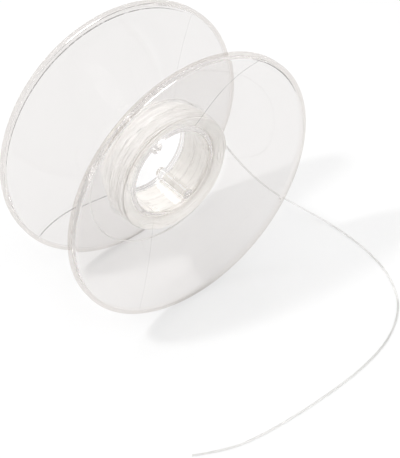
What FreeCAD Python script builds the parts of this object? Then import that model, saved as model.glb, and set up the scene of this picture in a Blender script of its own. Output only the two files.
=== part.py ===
import FreeCAD, Part
import math
import os

from FreeCAD import Vector

os.makedirs("parts", exist_ok=True)

# A clear reel of clear sewing thread, standing on its two rims.
# Millimetres, +Z up. The reel's axis lies along Y, the front flange faces -Y,
# and the origin is on the floor under the middle of the reel.

# Reel
flange_diameter = 70.0
reel_width = 30.0            # over both rims
rim_width = 1.5              # along the axis
rim_thickness = 1.1          # along the radius
rim_edge_radius = 0.2
flange_wall = 1.2            # along the axis
flange_bow = 0.7             # how far the dished face stands off a straight cone
hub_width = 9.8              # between the flanges, on the barrel
bore_diameter = 22.4
barrel_wall = 1.2
bore_edge_radius = 0.4

# Posts in the bore that pin the two halves together
post_diameter = 2.8
post_inset = 0.7             # from the bore's wall to the post's centre
post_end_setback = 0.4       # from the bore's mouth to the post's end
peg_angle = 115.0            # on the front half, from +X towards +Z
peg_diameter = 1.4
peg_length = 2.6
peg_clearance = 0.06         # all round
peg_end_clearance = 0.3

# Thread
thread_diameter = 0.5
winding_radius = 16.15       # at its fullest place
winding_crown_at = -3.2      # where that is, along Y
winding_crown_curve = 15.3   # radius of the crowned outline
winding_seat = 0.1           # from the wound thread to the reel
turn_seat = 0.05             # from the outer turns to the layers under them
turn_gap = 0.5               # between one outer turn and the next
crossing_gap = 0.75          # from the outer turns to the loose turn that crosses over them
turn_edge_room = 0.35        # from the outermost turns to the flanges
loose_turn_start = 20.0      # angle where the last turn springs off
loose_turn_sweep = 270.0
loose_turn_slack = 5.2
tail_exit_angle = 32.0
tail_exit_y = 2.5
tail_first_run = 10.0        # straight on from the winding
tail_arc_share = 0.45        # of the shorter run beside a bend

# Free tail, from the winding to its cut end on the floor
tail_points = [
    (23.7, 1.4, 26.2),
    (28.4, 0.0, 18.2),
    (32.8, -2.6, 11.6),
    (37.4, -6.0, 6.4),
    (41.4, -10.2, 2.9),
    (44.3, -15.8, 0.9),
    (45.6, -23.0, 0.25),
    (45.6, -32.6, 0.25),
    (43.4, -42.3, 0.25),
    (37.6, -51.4, 0.25),
    (27.6, -57.1, 0.25),
    (15.9, -59.2, 0.25),
    (4.1, -59.4, 0.25),
    (-5.8, -58.9, 0.25),
    (-15.9, -57.9, 0.25),
    (-24.8, -55.9, 0.25),
    (-31.7, -51.9, 0.25),
]

flange_radius = flange_diameter / 2
half_width = reel_width / 2
bore_radius = bore_diameter / 2
barrel_radius = bore_radius + barrel_wall
rim_inner_radius = flange_radius - rim_thickness
thread_radius = thread_diameter / 2
reel_centre = Vector(0, 0, flange_radius)
reel_axis = Vector(0, 1, 0)
seat_rounds = 30             # rounds that find where a layer of thread meets a flange
turn_step = 90.0             # sweep of one pair of arcs in the outer turns, in degrees
neighbour_lengths = 20       # thread diameters along the tube that count as one stretch


def on_reel(radius, y, angle):
    """Point at a radius and angle (degrees from +X towards +Z) about the reel's axis."""
    turned = math.radians(angle)
    return reel_centre + Vector(radius * math.cos(turned), y, radius * math.sin(turned))


def profile_point(radius, y):
    return on_reel(radius, y, 0)


def line(a, b):
    return Part.LineSegment(a, b).toShape()


def arc(a, middle, b):
    return Part.Arc(a, middle, b).toShape()


def turned_solid(edges):
    """Solid of revolution about the reel's axis."""
    face = Part.Face(Part.Wire(Part.__sortEdges__(edges)))
    return face.revolve(reel_centre, reel_axis, 360)


def rounded(solid, radius, places):
    """Rounds the circular edges that pass through given profile points."""
    corners = [Part.Vertex(place) for place in places]
    edges = [
        edge for edge in solid.Edges
        if edge.Curve.TypeId == "Part::GeomCircle"
        and any(edge.distToShape(corner)[0] < 1e-6 for corner in corners)
        and edge.Curve.Axis.cross(reel_axis).Length < 1e-6
    ]
    return solid.makeFillet(radius, edges)


# Dished face of a flange, as a circle in radius and distance from the middle plane
face_start = (barrel_radius, hub_width / 2)
face_end = (rim_inner_radius, half_width - rim_width)
chord = (face_end[0] - face_start[0], face_end[1] - face_start[1])
chord_length = math.hypot(*chord)
face_middle = (
    (face_start[0] + face_end[0]) / 2 - flange_bow * chord[1] / chord_length,
    (face_start[1] + face_end[1]) / 2 + flange_bow * chord[0] / chord_length,
)
face_curve = (chord_length ** 2 / 4 + flange_bow ** 2) / (2 * flange_bow)
face_centre = (
    face_middle[0] + face_curve * chord[1] / chord_length,
    face_middle[1] - face_curve * chord[0] / chord_length,
)


def groove_half_width(radius):
    """Distance from the middle plane to a flange's inner face at a radius."""
    return face_centre[1] + math.sqrt(face_curve ** 2 - (radius - face_centre[0]) ** 2)


def crown_radius(y):
    """Outside radius of the wound thread along the axis."""
    off = y - winding_crown_at
    return winding_radius - winding_crown_curve + math.sqrt(winding_crown_curve ** 2 - off ** 2)


def winding_end(side, depth, room):
    """Place along Y where a layer at a depth below the outside stops short of a flange."""
    y = side * hub_width / 2
    for _ in range(seat_rounds):
        y = side * (groove_half_width(crown_radius(y) - depth) - room)
    return y


def reel_half():
    """Front half: dished flange with its rim, half the barrel, one peg post and one socket post."""
    inner = [profile_point(radius, -y) for radius, y in (face_start, face_middle, face_end)]
    wall = Vector(0, -flange_wall, 0)
    outer = [point + wall for point in inner]
    rim_inside = profile_point(flange_radius, -(half_width - rim_width))
    rim_outside = profile_point(flange_radius, -half_width)
    lip = profile_point(rim_inner_radius, -half_width)
    bore_mouth = profile_point(bore_radius, outer[0].y)
    bore_middle = profile_point(bore_radius, 0)
    barrel_middle = profile_point(barrel_radius, 0)
    half = turned_solid([
        line(barrel_middle, inner[0]),
        arc(*inner),
        line(inner[2], rim_inside),
        line(rim_inside, rim_outside),
        line(rim_outside, lip),
        line(lip, outer[2]),
        arc(outer[2], outer[1], outer[0]),
        line(outer[0], bore_mouth),
        line(bore_mouth, bore_middle),
        line(bore_middle, barrel_middle),
    ])
    half = rounded(half, rim_edge_radius, [rim_inside, rim_outside, lip])
    half = rounded(half, bore_edge_radius, [bore_mouth])

    post_length = -bore_mouth.y - post_end_setback
    inward = Vector(0, -1, 0)
    outward = Vector(0, 1, 0)
    peg_place = on_reel(bore_radius - post_inset, 0, peg_angle)
    socket_place = on_reel(bore_radius - post_inset, 0, peg_angle + 180)
    for place in (peg_place, socket_place):
        half = half.fuse(Part.makeCylinder(post_diameter / 2, post_length, place, inward))
    half = half.fuse(Part.makeCylinder(peg_diameter / 2, peg_length, peg_place, outward))
    socket = Part.makeCylinder(
        peg_diameter / 2 + peg_clearance, peg_length + peg_end_clearance, socket_place, inward)
    return half.cut(socket).removeSplitter()


def inner_layers():
    """The wound layers under the outer turns, as one plain crowned ring."""
    depth = thread_diameter + turn_seat
    front = winding_end(-1, depth, winding_seat)
    rear = winding_end(1, depth, winding_seat)
    middle = (front + rear) / 2
    root = barrel_radius + winding_seat
    root_front = profile_point(root, -(groove_half_width(root) - winding_seat))
    root_rear = profile_point(root, groove_half_width(root) - winding_seat)
    crown = [profile_point(crown_radius(y) - depth, y) for y in (front, middle, rear)]
    return turned_solid([
        line(root_front, crown[0]),
        arc(*crown),
        line(crown[2], root_rear),
        line(root_rear, root_front),
    ])


def smooth_step(share):
    share = min(max(share, 0), 1)
    return share * share * (3 - 2 * share)


# Outer turns: a helix from the rear flange to the front one, then one loose turn back
# over the others to the place where the tail leaves.
turns_front = winding_end(-1, thread_radius, turn_edge_room + thread_radius)
turns_rear = winding_end(1, thread_radius, turn_edge_room + thread_radius)
turn_count = int((turns_rear - turns_front) / (thread_diameter + turn_gap))
helix_sweep = 360.0 * turn_count
last_sweep = 360.0 + loose_turn_start - tail_exit_angle
full_sweep = helix_sweep + last_sweep
crossing_lift = thread_diameter + crossing_gap


def turn_centre(sweep):
    """Middle of the thread after a sweep in degrees, clockwise seen from the front."""
    angle = loose_turn_start + helix_sweep - sweep
    if sweep <= helix_sweep:
        y = turns_rear + (turns_front - turns_rear) * sweep / helix_sweep
        lift = 0.0
    else:
        past = sweep - helix_sweep
        y = turns_front + (tail_exit_y - turns_front) * smooth_step(past / last_sweep)
        slack = math.sin(math.pi * min(past / loose_turn_sweep, 1)) ** 2
        lift = loose_turn_slack * slack + crossing_lift * smooth_step(past / (loose_turn_sweep / 3))
    return on_reel(crown_radius(y) - thread_radius + lift, y, angle)


def turn_direction(sweep):
    step = 0.01
    return (turn_centre(sweep + step) - turn_centre(sweep - step)).normalize()


def tangent_arc(start, direction, end):
    """Arc from a start point and direction to an end point."""
    span = end - start
    along = Vector(span).normalize()
    side = direction - along * direction.dot(along)
    half_angle = direction.getAngle(span) / 2
    rise = span.Length / 2 * math.tan(half_angle)
    return arc(start, start + span * 0.5 + side.normalize() * rise, end)


def biarc(start, start_direction, end, end_direction):
    """Two arcs that leave a start point and reach an end point along given directions."""
    span = end - start
    both = start_direction + end_direction
    bend = 2 * (1 - start_direction.dot(end_direction))
    reach = (math.sqrt(span.dot(both) ** 2 + bend * span.dot(span)) - span.dot(both)) / bend
    meeting = (start + start_direction * reach + end - end_direction * reach) * 0.5
    joint_direction = (end - end_direction * reach - start - start_direction * reach).normalize()
    return [
        tangent_arc(start, start_direction, meeting),
        tangent_arc(meeting, joint_direction, end),
    ]


def round_tube(edges, diameter):
    path = Part.Wire(edges)
    start = path.Edges[0].valueAt(path.Edges[0].FirstParameter)
    direction = path.Edges[0].tangentAt(path.Edges[0].FirstParameter)
    section = Part.Wire(Part.makeCircle(diameter / 2, start, direction))
    return path, path.makePipeShell([section], True, False)


def outer_turns():
    """The outer layer as one unbroken tube with straight ends."""
    count = math.ceil(full_sweep / turn_step)
    sweeps = [full_sweep * index / count for index in range(count + 1)]
    points = [turn_centre(sweep) for sweep in sweeps]
    directions = [turn_direction(sweep) for sweep in sweeps]
    edges = [line(points[0] - directions[0] * thread_diameter, points[0])]
    for index in range(count):
        edges += biarc(points[index], directions[index], points[index + 1], directions[index + 1])
    tube_end = points[-1] + directions[-1] * thread_diameter
    edges.append(line(points[-1], tube_end))
    path, tube = round_tube(edges, thread_diameter)
    return path, tube, tube_end, directions[-1]


def least_gap(path, diameter, step):
    """Smallest clear distance between stretches of a tube that are not neighbours along it."""
    points = path.discretize(Distance=step)
    skip = int(neighbour_lengths * diameter / step)
    least = min(
        (a - b).Length
        for index, a in enumerate(points)
        for b in points[index + skip:]
    )
    return least - diameter


def tail_tube(start, direction):
    """The free tail: straight runs joined by arcs as large as the runs allow."""
    corners = [start, start + direction * tail_first_run]
    corners += [Vector(*point) for point in tail_points]
    edges = []
    radii = []
    here = corners[0]
    for before, corner, after in zip(corners, corners[1:], corners[2:]):
        back = (before - corner).normalize()
        ahead = (after - corner).normalize()
        turn = math.pi - back.getAngle(ahead)
        shorter = min((before - corner).Length, (after - corner).Length)
        reach = tail_arc_share * shorter
        radius = reach / math.tan(turn / 2)
        radii.append(radius)
        bisector = (back + ahead).normalize()
        middle = corner + bisector * (radius / math.cos(turn / 2) - radius)
        arc_start = corner + back * reach
        arc_end = corner + ahead * reach
        edges.append(line(here, arc_start))
        edges.append(arc(arc_start, middle, arc_end))
        here = arc_end
    edges.append(line(here, corners[-1]))
    path, tube = round_tube(edges, thread_diameter)
    return path, tube, radii


front_half = reel_half()
swap_angle = math.radians(peg_angle + 90)
swap_axis = Vector(math.cos(swap_angle), 0, math.sin(swap_angle))
rear_half = front_half.copy()
rear_half.rotate(reel_centre, swap_axis, 180)
core = inner_layers()
turns_path, turns, tail_start, tail_direction = outer_turns()
tail_path, tail, tail_radii = tail_tube(tail_start, tail_direction)

section_area = math.pi * thread_radius ** 2
for name, path, tube in (("outer turns", turns_path, turns), ("tail", tail_path, tail)):
    print("%s: length %.1f mm, volume %.3f, section times length %.3f, valid %s" % (
        name, path.Length, tube.Volume, section_area * path.Length, tube.isValid()))
print("outer turns: %d, least gap %.2f mm" % (turn_count, least_gap(turns_path, thread_diameter, 1.0)))
print("tail bend radii:", ", ".join("%.1f" % radius for radius in tail_radii))

nodes = {
    "front_reel_half": front_half,
    "rear_reel_half": rear_half,
    "thread_inner_layers": core,
    "thread_outer_turns": turns,
    "thread_tail": tail,
}
for name, shape in nodes.items():
    solid = shape.Solids[0]
    print(name, len(shape.Solids), "solid, valid", solid.isValid(), "volume %.1f" % solid.Volume)
    solid.exportStep("parts/" + name + ".step")
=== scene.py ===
import math
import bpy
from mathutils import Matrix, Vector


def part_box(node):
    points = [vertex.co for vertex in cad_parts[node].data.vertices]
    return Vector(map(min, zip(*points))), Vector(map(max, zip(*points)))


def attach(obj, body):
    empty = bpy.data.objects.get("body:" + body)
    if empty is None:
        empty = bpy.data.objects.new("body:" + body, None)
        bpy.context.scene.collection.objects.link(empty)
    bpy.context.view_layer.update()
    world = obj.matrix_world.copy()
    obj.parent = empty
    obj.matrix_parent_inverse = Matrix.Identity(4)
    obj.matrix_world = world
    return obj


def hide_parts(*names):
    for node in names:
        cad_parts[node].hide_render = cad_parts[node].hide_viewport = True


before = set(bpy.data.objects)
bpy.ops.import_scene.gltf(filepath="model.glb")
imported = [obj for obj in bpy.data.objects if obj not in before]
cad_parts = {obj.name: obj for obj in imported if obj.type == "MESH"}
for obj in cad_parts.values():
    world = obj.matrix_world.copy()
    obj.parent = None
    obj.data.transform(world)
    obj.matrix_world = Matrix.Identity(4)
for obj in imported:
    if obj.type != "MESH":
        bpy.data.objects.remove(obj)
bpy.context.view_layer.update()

from types import SimpleNamespace

import bmesh
import bpy
from mathutils import Vector

mm = 0.001

# Reel, in metres. The reel's axis lies along Y and it stands on its rims.
front_low, front_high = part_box("front_reel_half")
flange_radius = (front_high[2] - front_low[2]) / 2
half_width = -front_low[1]
rim_width = 1.5 * mm
rim_thickness = 1.1 * mm
rim_edge_radius = 0.12 * mm
flange_wall = 1.2 * mm
flange_bow = 0.7 * mm
hub_half_width = 4.9 * mm
bore_radius = 11.2 * mm
barrel_wall = 1.2 * mm
bore_edge_radius = 0.5 * mm
root_radius = 0.5 * mm
joint_lap = 0.005 * mm
barrel_radius = bore_radius + barrel_wall
rim_inner_radius = flange_radius - rim_thickness
reel_centre = Vector((0, 0, flange_radius))
around_reel = 480

# Posts in the bore
post_radius = 1.4 * mm
post_inset = 0.7 * mm
post_end_setback = 0.4 * mm
post_angles = (115.0, 295.0)

# Moulding hairlines: side, angles at the hub and at the rim, bend between them, width
line_clearance = 0.01 * mm
line_depth = 0.005 * mm
moulding_line_inner = 13.0 * mm
moulding_line_outer = 33.8 * mm
moulding_line_steps = 24
moulding_line_places = [
    (-1, 62.0, 58.0, 7.2, 0.16 * mm),
    (-1, 237.0, 237.0, 0.0, 0.03 * mm),
    (1, 214.0, 213.2, -3.9, 0.34 * mm),
    (1, 51.0, 51.0, 0.0, 0.03 * mm),
]
barrel_line_angles = (56.5, 237.0)
barrel_line_width = 0.05 * mm

# Painted shade along the rims, for the dark edges that refraction shows there: side, radius and angle at
# both ends, width
rim_line_steps = 48
rim_line_taper = 0.7
rim_line_blunt_end = 0.02
painted_rim_shade_places = [
    (1, 33.5 * mm, 56.0, 34.2 * mm, 168.0, 0.30 * mm),
    (1, 34.75 * mm, 60.0, 34.8 * mm, 130.0, 0.15 * mm),
    (-1, 33.75 * mm, 26.0, 33.75 * mm, 62.0, 0.26 * mm),
]

# Wound thread
thread_radius = 0.25 * mm
shown_thread_radius = 0.17 * mm
thread_sides = 6
points_per_turn = 96
winding_radius = 16.15 * mm
winding_crown_at = -3.2 * mm
winding_crown_curve = 15.3 * mm
winding_seat = 0.1 * mm
winding_root = barrel_radius + winding_seat
turns_front = -5.9 * mm
turns_rear = 4.9 * mm
core_steps = 16
around_core = 192

# How a wound thread strays along the axis and bobs in radius, per radian of its sweep
stray_rate = 0.9
bob_rate = 1.7
bob_share = 0.5
bob_seed_step = 50

# Last turn, sprung loose, and the tail it runs into
loose_turn_start = 20.0
loose_turn_sweep = 270.0
loose_turn_slack = 5.2 * mm
loose_turn_skew = 1.6
loose_turn_steps = 24
crossing_lift = 1.25 * mm
tail_exit_angle = 32.0
tail_exit_y = 2.5 * mm
tail_lead = 10 * mm
last_sweep = 360 + loose_turn_start - tail_exit_angle

# The tail's route, in millimetres, from the winding to its cut end on the floor
tail_route = [
    (23.7, 1.4, 26.2),
    (28.4, 0.0, 18.2),
    (32.8, -2.6, 11.6),
    (37.4, -6.0, 6.4),
    (41.4, -10.2, 2.9),
    (44.3, -15.8, 0.9),
    (45.6, -23.0, 0.25),
    (45.6, -32.6, 0.25),
    (43.4, -42.3, 0.25),
    (37.6, -51.4, 0.25),
    (27.6, -57.1, 0.25),
    (15.9, -59.2, 0.25),
    (4.1, -59.4, 0.25),
    (-5.8, -58.9, 0.25),
    (-15.9, -57.9, 0.25),
    (-24.8, -55.9, 0.25),
    (-31.7, -51.9, 0.25),
]

# Clear plastic. Its tint is faint in the hub, and reaches further out on the front half; this is painted
# light on the shaded winding seen through it. The tint is fuller on the flanges, and fuller still round the
# bore's mouths, which is painted shade over the bright ring there.
plastic_index = 1.5
plastic_tints = [
    (0.0, (0.985, 0.981, 0.979)),
    (0.8, (0.872, 0.857, 0.849)),
    (1.0, (0.75, 0.728, 0.712)),
]
hub_depth = 0.1
flange_depth = 0.7
mouth_painted_shade_depth = 0.9
hub_painted_light_radius = 12.6 * mm
hub_painted_light_fade = 1.2 * mm
front_painted_light_extra = 2.2 * mm
mould_wave_scale = 90.0
mould_wave_strength = 0.02
mould_wave_height = 0.2 * mm
haze_scale = 260.0
haze_roughness = 0.03
rim_roughness = 0.1
least_roughness = 0.005
rim_band_tone = (0.90, 0.885, 0.873, 1)
rim_band_share = 0.93

# Hairlines, and painted shade along the rims' dark edges
mark_tone = (0.22, 0.21, 0.20, 1)
mark_roughness = 0.4
mark_break_scale = 700.0
mark_break_level = 0.33
mark_break_contrast = 4
mark_least_alpha = 0.18
mark_most_alpha = 0.45

# Thread. Streaks run along the turns; their darker parts are partly the thread's own streaks and partly
# painted shade between the threads, and their darkest dashes are painted dark refraction. A single thread
# is faintly clouded.
thread_index = 1.53
streak_scale = 1.6
streak_detail = 3.0
streak_grain = 0.6
streaks_around = 3.2
streak_slant = 0.7
streak_width = 0.32 * mm
streak_depth = 0.7 * mm
streak_strength = 0.4
streak_height = 0.3 * mm
streak_roughness = 0.12
dark_stop = 0.28
shade_stop = 0.35
tone_stop = 0.62
cloud_scale = 160.0
cloud_tones = [(0.3, (0.80, 0.79, 0.78)), (0.7, (0.92, 0.91, 0.90))]
cloud_roughness = 0.15
single_thread_roughness = 0.08
tail_clearness = 0.95
loose_turn_clearness = 0.15

# Thread in the mass: the same clear thread in one copy for each place, toned lighter or darker for how
# bright that place looks. This is painted light and shade, lightest on the shaded flank under the front
# flange and darkest on the lit crown. Columns: tone, shade, share of the shade that its dark dashes keep,
# least roughness
thread_copies_with_painted_light = {
    "packed_thread": ((0.975, 0.96, 0.93), (0.92, 0.905, 0.87), 0.9, 0.25),
    "turned_thread": ((0.865, 0.85, 0.83), (0.79, 0.775, 0.75), 0.35, 0.01),
    "under_thread": ((0.99, 0.975, 0.955), (0.93, 0.915, 0.885), 0.6, 0.06),
    "lining_thread": ((0.90, 0.88, 0.855), (0.82, 0.80, 0.77), 0.5, 0.06),
}

# Floor and studio
floor_size = 3.0
floor_drop = 0.02 * mm
floor_tone = (0.87, 0.87, 0.87, 1)
white = (1, 1, 1, 1)
white_strength = 0.83
white_share = 0.58
studio_tones = [
    (0.0, (0.66, 0.66, 0.66)),
    (0.5, (0.80, 0.80, 0.80)),
    (1.0, (1.12, 1.12, 1.12)),
]
bright_east = 0.15
bright_south = 0.4
bright_above = 0.2
bright_middle = 0.5

# Lamps: name, direction from the reel, size in metres, power in watts
lamp_distance = 0.6
lamp_places = [
    ("window", (-0.7, 0.28, 1.0), 0.06, 1.6),
    ("panel", (0.08, 0.56, 0.82), 0.3, 0.75),
    ("fill", (0.25, -0.65, 0.65), 0.5, 0.95),
]

# Camera
view_azimuth = math.radians(-39.26)
view_elevation = math.radians(43.85)
view_distance = 6.173 * flange_radius
aim_right = -0.286 * flange_radius
aim_up = 0.474 * flange_radius
image_height = 458
focal_pixels = 887.3
sensor_width = 36
nearest_seen = 0.01


# Node trees
class Value:
    """A socket in a node tree. Arithmetic on it adds Math nodes."""

    def __init__(self, tree, socket):
        self.tree = tree
        self.socket = socket

    def math(self, operation, *others):
        return add(self.tree, "ShaderNodeMath", {"operation": operation}, [self, *others])

    def __add__(self, other):
        return self.math("ADD", other)

    def __sub__(self, other):
        return self.math("SUBTRACT", other)

    def __rsub__(self, other):
        return add(self.tree, "ShaderNodeMath", {"operation": "SUBTRACT"}, [other, self])

    def __mul__(self, other):
        return self.math("MULTIPLY", other)

    __rmul__ = __mul__

    def __truediv__(self, other):
        return self.math("DIVIDE", other)


def add(tree, kind, settings=None, sockets=None, output=0):
    """Adds a node, sets its settings, then fills or links its sockets, and returns one output."""
    node = tree.nodes.new(kind)
    for name, setting in (settings or {}).items():
        if name == "stops":
            set_stops(node.color_ramp, setting)
        else:
            setattr(node, name, setting)
    filled = enumerate(sockets) if isinstance(sockets, list) else (sockets or {}).items()
    for name, given in filled:
        if isinstance(given, Value):
            tree.links.new(given.socket, node.inputs[name])
        else:
            node.inputs[name].default_value = given
    return Value(tree, node.outputs[output]) if node.outputs else node


def set_stops(ramp, stops):
    while len(ramp.elements) < len(stops):
        ramp.elements.new(1)
    for element, (place, tone) in zip(ramp.elements, stops):
        element.position = place
        element.color = (*tone, 1)


def ramp_of(tree, share, stops):
    """A colour ramp along a share from 0 to 1."""
    return add(tree, "ShaderNodeValToRGB", {"stops": stops}, [share])


def place_on_object(tree):
    return add(tree, "ShaderNodeTexCoord", output="Object")


def noise_of(tree, place, scale, detail, grain=0.5):
    return add(tree, "ShaderNodeTexNoise", None, {
        "Vector": place,
        "Scale": scale,
        "Detail": detail,
        "Roughness": grain,
    })


def noise_along(tree, place):
    """Noise along a single line."""
    return add(tree, "ShaderNodeTexNoise", {"noise_dimensions": "1D"}, {"W": place, "Scale": 1.0})


def bump_of(tree, height, strength, distance):
    sockets = {"Height": height, "Strength": strength, "Distance": distance}
    return add(tree, "ShaderNodeBump", None, sockets, output="Normal")


def axes_of(tree, place):
    """X, Y and Z of a place or a direction."""
    split = tree.nodes.new("ShaderNodeSeparateXYZ")
    tree.links.new(place.socket, split.inputs[0])
    return [Value(tree, socket) for socket in split.outputs]


def within(value):
    """The value held between 0 and 1."""
    return value.math("MAXIMUM", 0).math("MINIMUM", 1)


def seen_rays(tree):
    """1 on rays that show a surface to the camera, straight or by way of a clear or glossy piece."""
    light = tree.nodes.new("ShaderNodeLightPath")
    straight, mirrored, through = (
        Value(tree, light.outputs[name])
        for name in ("Is Camera Ray", "Is Glossy Ray", "Is Transmission Ray"))
    return (straight + mirrored + through).math("MINIMUM", 1)


# Materials
def new_material(name):
    material = bpy.data.materials.new(name)
    material.use_nodes = True
    material.node_tree.nodes.clear()
    return material, material.node_tree


def close_material(tree, shader):
    add(tree, "ShaderNodeOutputMaterial", None, {"Surface": shader})


def reel_coordinates(tree, place):
    """Radius, angle and distance along the axis of a place on the reel."""
    x, y, z = axes_of(tree, place)
    height = z - flange_radius
    return (x * x + height * height).math("SQRT"), height.math("ARCTAN2", x), y


def clear_plastic():
    """Clear moulded plastic: faintly warm, with the soft waves that a mould leaves; clearer over the hub as
    painted light, and darker round the bore's mouths as painted shade.
    """
    material, tree = new_material("clear_plastic")
    place = place_on_object(tree)
    waves = noise_of(tree, place, mould_wave_scale, detail=1.0)
    haze = noise_of(tree, place, haze_scale, detail=4.0)
    radius, _, y = reel_coordinates(tree, place)
    in_front = within(-1 * y / hub_half_width)
    on_rim = within((radius - rim_inner_radius) / rim_edge_radius)
    # painted light: the tint thins over the hub, and further out on the front half, so the shaded winding
    # behind it looks lighter
    past_hub = within((radius - in_front * front_painted_light_extra - hub_painted_light_radius) / hub_painted_light_fade)
    # painted shade: a fuller tint round the bore's mouths darkens the bright ring there
    mouth_painted_shade_mask = within((barrel_radius - radius) / bore_edge_radius + 1)
    mouth_painted_shade_mask = mouth_painted_shade_mask * within((y.math("ABSOLUTE") - hub_half_width) / bore_edge_radius)
    depth = past_hub * flange_depth + mouth_painted_shade_mask * mouth_painted_shade_depth + hub_depth
    shader = add(tree, "ShaderNodeBsdfPrincipled", None, {
        "Base Color": ramp_of(tree, depth, plastic_tints),
        "Roughness": haze * haze_roughness + on_rim * rim_roughness + least_roughness,
        "IOR": plastic_index,
        "Transmission Weight": 1.0,
        "Normal": bump_of(tree, waves, mould_wave_strength, mould_wave_height),
    })
    band = add(tree, "ShaderNodeBsdfTransparent", None, {"Color": rim_band_tone})
    close_material(tree, add(tree, "ShaderNodeMixShader", None, [on_rim * rim_band_share, shader, band]))
    return material


def hairline_and_painted_shade():
    """A broken grey hairline, used also for the painted shade along the rims."""
    material, tree = new_material("hairline_and_painted_shade")
    place = place_on_object(tree)
    breaks = noise_of(tree, place, mark_break_scale, detail=2.0)
    shown = (breaks - mark_break_level) * mark_break_contrast
    shader = add(tree, "ShaderNodeBsdfPrincipled", None, {
        "Base Color": mark_tone,
        "Roughness": mark_roughness,
        "Alpha": shown.math("MINIMUM", mark_most_alpha).math("MAXIMUM", mark_least_alpha),
    })
    close_material(tree, shader)
    return material


def wound_thread(name, tone, shade, dash, polish):
    """Clear thread in the mass: pale and glossy, streaked along its turns, with painted shade between the
    threads and painted dark refraction in the darkest dashes.
    """
    material, tree = new_material(name)
    place = place_on_object(tree)
    radius, angle, y = reel_coordinates(tree, place)
    across = y / streak_width + angle * streak_slant
    along = add(tree, "ShaderNodeCombineXYZ", None, [angle * streaks_around, across, radius / streak_depth])
    streaks = noise_of(tree, along, streak_scale, streak_detail, streak_grain)
    # painted shade: the darkest dashes stand in for dark refraction in the clear thread
    dark = [part * dash for part in shade]
    colour = ramp_of(tree, streaks, [(dark_stop, dark), (shade_stop, shade), (tone_stop, tone)])
    shader = add(tree, "ShaderNodeBsdfPrincipled", None, {
        "Base Color": colour,
        "Roughness": streaks * streak_roughness + polish,
        "IOR": thread_index,
        "Normal": bump_of(tree, streaks, streak_strength, streak_height),
    })
    close_material(tree, shader)
    return material


def single_thread(name, clear):
    """A single clear thread."""
    material, tree = new_material(name)
    place = place_on_object(tree)
    cloud = noise_of(tree, place, cloud_scale, detail=2.0)
    shader = add(tree, "ShaderNodeBsdfPrincipled", None, {
        "Base Color": ramp_of(tree, cloud, cloud_tones),
        "Roughness": cloud * cloud_roughness + single_thread_roughness,
        "IOR": thread_index,
        "Transmission Weight": clear,
    })
    close_material(tree, shader)
    return material


def pale_floor():
    """A pale floor that stays near white where the camera sees it."""
    material, tree = new_material("pale_floor")
    lit = add(tree, "ShaderNodeBsdfDiffuse", None, {"Color": floor_tone})
    glow = add(tree, "ShaderNodeEmission", None, {"Color": white, "Strength": white_strength})
    share = seen_rays(tree) * white_share
    close_material(tree, add(tree, "ShaderNodeMixShader", None, [share, lit, glow]))
    return material


# Objects and meshes
def new_object(name, content):
    piece = bpy.data.objects.new(name, content)
    bpy.context.scene.collection.objects.link(piece)
    return piece


def finish_piece(piece, material, slot, *nodes):
    piece.data.materials.clear()
    piece.data.materials.append(material)
    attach(piece, "root")
    if nodes:
        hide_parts(*nodes)


def smooth_mesh(mesh, angle=35):
    mesh.polygons.foreach_set("use_smooth", [True] * len(mesh.polygons))
    mesh.set_sharp_from_angle(angle=math.radians(angle))


def mesh_of(piece):
    """The piece's mesh with its modifiers applied."""
    bpy.context.view_layer.update()
    return bpy.data.meshes.new_from_object(piece.evaluated_get(bpy.context.evaluated_depsgraph_get()))


def closed_mesh(name, verts, faces, thickness=0):
    """A mesh with its faces turned outwards, first thickened if it is a sheet."""
    mesh = bpy.data.meshes.new(name)
    mesh.from_pydata(verts, [], faces)
    shape = bmesh.new()
    shape.from_mesh(mesh)
    if thickness:
        bmesh.ops.solidify(shape, geom=shape.faces[:], thickness=thickness)
    bmesh.ops.recalc_face_normals(shape, faces=shape.faces)
    shape.to_mesh(mesh)
    shape.free()
    return mesh


def join_meshes(name, meshes):
    shape = bmesh.new()
    for mesh in meshes:
        shape.from_mesh(mesh)
    joined = bpy.data.meshes.new(name)
    shape.to_mesh(joined)
    shape.free()
    return joined


def on_reel(radius, y, angle):
    turned = math.radians(angle)
    return reel_centre + Vector((radius * math.cos(turned), y, radius * math.sin(turned)))


def around_at(angle):
    """Direction round the reel at an angle."""
    turned = math.radians(angle)
    return Vector((-math.sin(turned), 0, math.cos(turned)))


def rounded_corner(before, corner, after, radius, steps=5):
    """Points of a rounded corner in a profile."""
    back = (before - corner).normalized()
    ahead = (after - corner).normalized()
    half = back.angle(ahead) / 2
    reach = radius / math.tan(half)
    centre = corner + (back + ahead).normalized() * (radius / math.sin(half))
    start = corner + back * reach - centre
    end = corner + ahead * reach - centre
    turn = start.angle_signed(end)
    points = []
    for step in range(steps + 1):
        bent = -turn * step / steps
        points.append(centre + Vector((
            start.x * math.cos(bent) - start.y * math.sin(bent),
            start.x * math.sin(bent) + start.y * math.cos(bent),
        )))
    return points


def round_profile(corners):
    """Profile points from (radius, distance, corner radius) triples; a corner radius of 0 is kept sharp."""
    places = [Vector(corner[:2]) for corner in corners]
    points = []
    for index, (_, _, corner_radius) in enumerate(corners):
        if corner_radius:
            follow = places[(index + 1) % len(places)]
            points += rounded_corner(places[index - 1], places[index], follow, corner_radius)
        else:
            points.append(places[index])
    return points


def turned_mesh(name, profile, side, around=around_reel):
    """Closed mesh of revolution from (radius, distance) points; side turns distances into Y."""
    verts = []
    for step in range(around):
        angle = 360 * step / around
        verts += [on_reel(radius, side * distance, angle) for radius, distance in profile]
    count = len(profile)
    faces = []
    for step in range(around):
        here = step * count
        there = (step + 1) % around * count
        for index in range(count):
            follow = (index + 1) % count
            faces.append((here + index, here + follow, there + follow, there + index))
    return closed_mesh(name, verts, faces)


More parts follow.
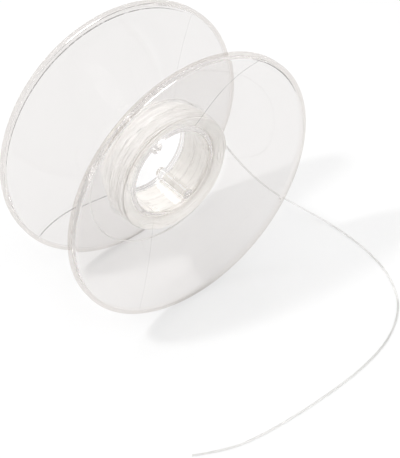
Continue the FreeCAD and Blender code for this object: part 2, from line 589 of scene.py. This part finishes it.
def rod_mesh(name, radius, start, end, around=48):
    """Closed round rod between two points on a line along Y."""
    verts = []
    for place in (start, end):
        for step in range(around):
            angle = 2 * math.pi * step / around
            verts.append(place + Vector((radius * math.cos(angle), 0, radius * math.sin(angle))))
    faces = []
    for step in range(around):
        follow = (step + 1) % around
        faces.append((step, follow, around + follow, around + step))
    faces.append(range(around))
    faces.append(range(around, 2 * around))
    return closed_mesh(name, verts, faces)


# Dished face of a flange, as a circle in radius and distance from the middle plane
face_start = Vector((barrel_radius, hub_half_width))
face_end = Vector((rim_inner_radius, half_width - rim_width))
face_chord = face_end - face_start
face_curve = (face_chord.length ** 2 / 4 + flange_bow ** 2) / (2 * flange_bow)
face_side = Vector((face_chord.y, -face_chord.x)).normalized()
face_centre = (face_start + face_end) / 2 + face_side * (face_curve - flange_bow)


def groove_half_width(radius):
    return face_centre.y + math.sqrt(face_curve ** 2 - (radius - face_centre.x) ** 2)


def dished_points(lift, count=26):
    """Points on the dished face from the barrel to the rim, lifted outwards."""
    radii = [face_start.x + face_chord.x * step / count for step in range(count + 1)]
    return [(radius, groove_half_width(radius) + lift, 0) for radius in radii]


def reel_half_piece(name, side):
    """One half of the reel: flange, rim, half of the barrel and half of each post."""
    inner = dished_points(0)
    outer = dished_points(flange_wall)
    mouth = hub_half_width + flange_wall
    corners = [
        (barrel_radius, -joint_lap, 0),
        (barrel_radius, hub_half_width, root_radius),
        *inner[1:],
        (flange_radius, half_width - rim_width, rim_edge_radius),
        (flange_radius, half_width, rim_edge_radius),
        (rim_inner_radius, half_width, rim_edge_radius),
        *reversed(outer),
        (bore_radius, mouth, bore_edge_radius),
        (bore_radius, -joint_lap, 0),
    ]
    piece = new_object(name, turned_mesh(name, round_profile(corners), side))
    ring = bore_radius - post_inset
    near = -side * joint_lap
    far = side * (mouth - post_end_setback)
    for angle in post_angles:
        rod = rod_mesh("post", post_radius, on_reel(ring, near, angle), on_reel(ring, far, angle))
        post = new_object("post", rod)
        union = piece.modifiers.new("post", "BOOLEAN")
        union.operation = "UNION"
        union.solver = "EXACT"
        union.object = post
        piece.data = mesh_of(piece)
        piece.modifiers.clear()
        bpy.data.objects.remove(post)
    piece.data.name = name
    smooth_mesh(piece.data)
    return piece


# Hairlines in the plastic, and painted shade along the rims
def line_height(side, radius):
    """Place along the axis of a line on the side of a flange that faces the camera."""
    on_rim = radius > rim_inner_radius
    if side < 0:
        return -(half_width if on_rim else groove_half_width(radius) + flange_wall) - line_clearance
    return (half_width - rim_width if on_rim else groove_half_width(radius)) - line_clearance


def rim_line(side, start_radius, start_angle, end_radius, end_angle, width):
    """Edges of a line of painted shade along a rim, tapered to both ends."""
    edges = []
    for step in range(rim_line_steps + 1):
        share = step / rim_line_steps
        radius = start_radius + (end_radius - start_radius) * share
        angle = start_angle + (end_angle - start_angle) * share
        swell = math.sin(math.pi * (rim_line_blunt_end + (1 - 2 * rim_line_blunt_end) * share))
        spread = width / 2 * swell ** rim_line_taper
        for edge in (radius - spread, radius + spread):
            edges.append(on_reel(edge, line_height(side, edge), angle))
    return edges


def moulding_line(side, hub_angle, rim_angle, bend, width):
    """Edges of a line up a flange, from the hub to the rim."""
    edges = []
    for step in range(moulding_line_steps + 1):
        share = step / moulding_line_steps
        radius = moulding_line_inner + (moulding_line_outer - moulding_line_inner) * share
        angle = hub_angle + (rim_angle - hub_angle) * share + bend * 4 * share * (1 - share)
        across = around_at(angle) * width / 2
        middle = on_reel(radius, line_height(side, radius), angle)
        edges += [middle - across, middle + across]
    return edges


def barrel_line(angle):
    """Edges of a line along the bore."""
    across = around_at(angle) * barrel_line_width / 2
    edges = []
    for y in (-hub_half_width, hub_half_width):
        middle = on_reel(bore_radius - line_clearance, y, angle)
        edges += [middle - across, middle + across]
    return edges


def hairlines_and_painted_rim_shade():
    """Hairlines where the plastic met itself in the mould, and painted shade for the dark edges of the
    rims.
    """
    # painted shade: dark lines along the rims stand in for the dark edges that their refraction shows
    lines = [rim_line(*place) for place in painted_rim_shade_places]
    lines += [moulding_line(*place) for place in moulding_line_places]
    lines += [barrel_line(angle) for angle in barrel_line_angles]
    verts = []
    faces = []
    for edges in lines:
        for first in range(len(verts), len(verts) + len(edges) - 2, 2):
            faces.append((first, first + 1, first + 3, first + 2))
        verts += edges
    return new_object("hairlines_and_painted_rim_shade", closed_mesh("hairlines_and_painted_rim_shade", verts, faces, line_depth))


# Winding
winding_root_half = groove_half_width(winding_root) - winding_seat


def crown_radius(y):
    drop = winding_crown_curve - math.sqrt(winding_crown_curve ** 2 - (y - winding_crown_at) ** 2)
    return winding_radius - drop


def winding_core():
    """The wound layers under the outer turns."""
    depth = 2 * thread_radius
    root_half = winding_root_half - depth
    profile = [(winding_root, -root_half)]
    for step in range(core_steps + 1):
        y = turns_front + (turns_rear - turns_front) * step / core_steps
        profile.append((crown_radius(y) - depth, y))
    profile.append((winding_root, root_half))
    mesh = turned_mesh("winding_core", profile, 1, around_core)
    smooth_mesh(mesh)
    return new_object("winding_core", mesh)


def thread_tree(material):
    """Geometry nodes for one length of wound thread that passes to and fro along the axis."""
    tree = bpy.data.node_groups.new("wound_thread", "GeometryNodeTree")
    tree.interface.new_socket(name="Geometry", in_out="OUTPUT", socket_type="NodeSocketGeometry")
    usual = {
        "turns": 20.0,
        "points": 2000,
        "passes": 1.0,
        "start_angle": 0.0,
        "front": turns_front,
        "rear": turns_rear,
        "lift": 0.0,
        "wander": 0.0,
        "seed": 0.0,
        "radius": shown_thread_radius,
        "crowned": 1.0,
        "start_radius": barrel_radius,
        "end_radius": barrel_radius,
    }
    for name, size in usual.items():
        kind = "NodeSocketInt" if isinstance(size, int) else "NodeSocketFloat"
        tree.interface.new_socket(name=name, in_out="INPUT", socket_type=kind).default_value = size
    inputs = tree.nodes.new("NodeGroupInput")
    given = SimpleNamespace(**{name: Value(tree, inputs.outputs[name]) for name in usual})

    share = add(tree, "GeometryNodeInputIndex") / (given.points - 1)
    sweep = share * given.turns * (2 * math.pi)
    along = (share * given.passes).math("PINGPONG", 1)
    stray = (noise_along(tree, sweep * stray_rate + given.seed) - 0.5) * given.wander
    bob = (noise_along(tree, sweep * bob_rate + given.seed + bob_seed_step) - 0.5) * given.wander
    y = given.rear + (given.front - given.rear) * along + stray
    off = y - winding_crown_at
    crown = (winding_crown_curve ** 2 - off * off).math("SQRT") + (winding_radius - winding_crown_curve)
    straight = given.start_radius + (given.end_radius - given.start_radius) * along
    level = straight + (crown - given.radius - straight) * given.crowned
    ring = level + given.lift + bob * bob_share
    angle = given.start_angle - sweep
    x = ring * angle.math("COSINE")
    z = ring * angle.math("SINE") + flange_radius
    place = add(tree, "ShaderNodeCombineXYZ", None, [x, y, z])

    line = add(tree, "GeometryNodeMeshLine", None, {"Count": given.points})
    path = add(tree, "GeometryNodeSetPosition", None, {"Geometry": line, "Position": place})
    curve = add(tree, "GeometryNodeMeshToCurve", None, {"Mesh": path})
    circle = {"Resolution": thread_sides, "Radius": given.radius}
    section = add(tree, "GeometryNodeCurvePrimitiveCircle", None, circle)
    sweeping = {"Curve": curve, "Profile Curve": section, "Fill Caps": True}
    tube = add(tree, "GeometryNodeCurveToMesh", None, sweeping)
    whole = add(tree, "GeometryNodeRealizeInstances", None, {"Geometry": tube})
    shown = add(tree, "GeometryNodeSetMaterial", None, {"Geometry": whole, "Material": material})
    add(tree, "NodeGroupOutput", None, {"Geometry": shown})
    return tree


def wound_layer(tree, turns, **sizes):
    """One mesh from the wound-thread tree."""
    sizes.update(turns=turns, points=round(turns * points_per_turn))
    carrier = new_object("layer", bpy.data.meshes.new("layer"))
    winding = carrier.modifiers.new("winding", "NODES")
    winding.node_group = tree
    for item in tree.interface.items_tree:
        if item.in_out == "INPUT" and item.name in sizes:
            winding[item.identifier] = sizes[item.name]
    mesh = mesh_of(carrier)
    bpy.data.objects.remove(carrier)
    return mesh


def flank_layer(tree, side, edge):
    """Turns up one side of the winding, from the barrel to an edge of the crown."""
    rise = crown_radius(edge) - shown_thread_radius / 2
    rise_half = groove_half_width(rise) - winding_seat - shown_thread_radius
    root_half = winding_root_half - shown_thread_radius
    return wound_layer(
        tree, turns=10.0, wander=0.25 * mm, seed=33.0 + side, crowned=0.0,
        start_radius=winding_root + shown_thread_radius, end_radius=rise,
        rear=side * root_half, front=side * rise_half)


def lining_layer(tree, passes, wander, seed):
    """Turns that lie on the barrel and show through it."""
    level = winding_root + shown_thread_radius
    reach = winding_root_half - thread_radius
    return wound_layer(
        tree, turns=24.0, passes=passes, wander=wander, seed=seed, crowned=0.0,
        start_radius=level, end_radius=level, rear=reach, front=-reach)


def wound_piece(name, layers, material, *nodes):
    piece = new_object(name, join_meshes(name, layers))
    smooth_mesh(piece.data, 60)
    finish_piece(piece, material, "clear_thread", *nodes)


# Loose turn and tail
def smooth_step(share):
    share = min(max(share, 0), 1)
    return share * share * (3 - 2 * share)


def loose_turn_centre(past):
    """Middle of the last turn after a sweep in degrees, clockwise seen from the front."""
    y = turns_front + (tail_exit_y - turns_front) * smooth_step(past / last_sweep)
    slack = math.sin(math.pi * min(past / loose_turn_sweep, 1) ** loose_turn_skew) ** 2
    lift = loose_turn_slack * slack + crossing_lift * smooth_step(past / (loose_turn_sweep / 3))
    return on_reel(crown_radius(y) - thread_radius + lift, y, loose_turn_start - past)


def thread_curve(name, points, radius):
    """Round thread along a NURBS spline."""
    curve = bpy.data.curves.new(name, "CURVE")
    curve.dimensions = "3D"
    curve.bevel_depth = radius
    curve.bevel_resolution = 3
    curve.use_fill_caps = True
    spline = curve.splines.new("NURBS")
    spline.points.add(len(points) - 1)
    for control, point in zip(spline.points, points):
        control.co = (*point, 1)
    spline.order_u = 3
    spline.use_endpoint_u = True
    spline.resolution_u = 12
    return new_object(name, curve)


# Build the reel
plastic = clear_plastic()
finish_piece(reel_half_piece("front_half", -1), plastic, "clear_reel", "front_reel_half")
finish_piece(reel_half_piece("rear_half", 1), plastic, "clear_reel", "rear_reel_half")
finish_piece(hairlines_and_painted_rim_shade(), hairline_and_painted_shade(), "clear_reel")

# Build the thread
# copies of one thread, toned for how light falls on each place: painted light and shade
threads = {name: wound_thread(name, *look) for name, look in thread_copies_with_painted_light.items()}
tail_thread = single_thread("tail_thread", tail_clearness)
loose_thread = single_thread("loose_thread", loose_turn_clearness)
finish_piece(winding_core(), threads["packed_thread"], "clear_thread", "thread_inner_layers")

loose_points = []
for step in range(loose_turn_steps + 1):
    loose_points.append(loose_turn_centre(last_sweep * step / loose_turn_steps))
loose_turn = thread_curve("loose_turn", loose_points, shown_thread_radius)
finish_piece(loose_turn, loose_thread, "clear_thread")

tree = thread_tree(threads["turned_thread"])
crown_layers = [
    wound_layer(tree, turns=32.0, wander=0.2 * mm),
    wound_layer(tree, turns=22.0, passes=5.0, wander=0.4 * mm, seed=7.0, lift=0.12 * mm, start_angle=1.0),
    wound_layer(tree, turns=16.0, passes=7.0, wander=0.5 * mm, seed=21.0, lift=0.2 * mm, start_angle=2.6),
]
front_flank = flank_layer(tree, -1, turns_front)
rear_flank = flank_layer(tree, 1, turns_rear)
lining_layers = [
    lining_layer(tree, passes=1.0, wander=0.2 * mm, seed=40.0),
    lining_layer(tree, passes=5.0, wander=0.5 * mm, seed=44.0),
]
wound_piece("outer_turns", [*crown_layers, rear_flank], threads["turned_thread"], "thread_outer_turns")
wound_piece("front_turns", [front_flank], threads["under_thread"])
wound_piece("lining_turns", lining_layers, threads["lining_thread"])

tail_start = loose_turn_centre(last_sweep)
tail_direction = (tail_start - loose_turn_centre(last_sweep - 1)).normalized()
tail_points = [tail_start, tail_start + tail_direction * tail_lead]
tail_points += [Vector(point) * mm for point in tail_route]
tail = thread_curve("tail", tail_points, thread_radius)
finish_piece(tail, tail_thread, "clear_thread", "thread_tail")

# Floor
floor_mesh = bpy.data.meshes.new("floor")
reach = floor_size / 2
floor_corners = [(-reach, -reach, 0), (reach, -reach, 0), (reach, reach, 0), (-reach, reach, 0)]
floor_mesh.from_pydata(floor_corners, [], [(0, 1, 2, 3)])
floor = new_object("floor", floor_mesh)
floor.location.z = -floor_drop
floor_mesh.materials.append(pale_floor())

# Studio: soft light, brighter from the front and above, and plain white where it is seen
world = bpy.data.worlds.new("studio")
bpy.context.scene.world = world
world.use_nodes = True
sky = world.node_tree
sky.nodes.clear()
east, north, height = axes_of(sky, add(sky, "ShaderNodeTexCoord", output="Generated"))
bright_side = east * bright_east - north * bright_south + height * bright_above + bright_middle
tone = ramp_of(sky, bright_side, studio_tones)
lighting = add(sky, "ShaderNodeBackground", None, {"Color": tone, "Strength": 1.0})
plain = add(sky, "ShaderNodeBackground", None, {"Color": white, "Strength": 1.0})
background = add(sky, "ShaderNodeMixShader", None, [seen_rays(sky), lighting, plain])
add(sky, "ShaderNodeOutputWorld", None, {"Surface": background})

# Lamps
for name, direction, size, power in lamp_places:
    lamp = bpy.data.lights.new(name, "AREA")
    lamp.shape = "DISK"
    lamp.size = size
    lamp.energy = power
    holder = new_object(name, lamp)
    holder.location = reel_centre + Vector(direction).normalized() * lamp_distance
    holder.rotation_euler = (holder.location - reel_centre).to_track_quat("Z", "Y").to_euler()

# Camera
right = Vector((math.cos(view_azimuth), math.sin(view_azimuth), 0))
back = Vector((
    math.sin(view_azimuth) * math.cos(view_elevation),
    -math.cos(view_azimuth) * math.cos(view_elevation),
    math.sin(view_elevation),
))
up = back.cross(right)
camera = bpy.data.cameras.new("camera")
camera.sensor_width = sensor_width
camera.lens = focal_pixels / image_height * sensor_width
camera.clip_start = nearest_seen
viewer = new_object("camera", camera)
viewer.location = reel_centre - right * aim_right - up * aim_up + back * view_distance
viewer.rotation_euler = back.to_track_quat("Z", "Y").to_euler()
scene = bpy.context.scene
scene.camera = viewer
scene.view_settings.view_transform = "Standard"
scene.cycles.blur_glossy = 0.0
scene.cycles.caustics_reflective = False
scene.cycles.diffuse_bounces = 12
scene.cycles.max_bounces = 128
scene.cycles.glossy_bounces = 96
scene.cycles.transmission_bounces = 96
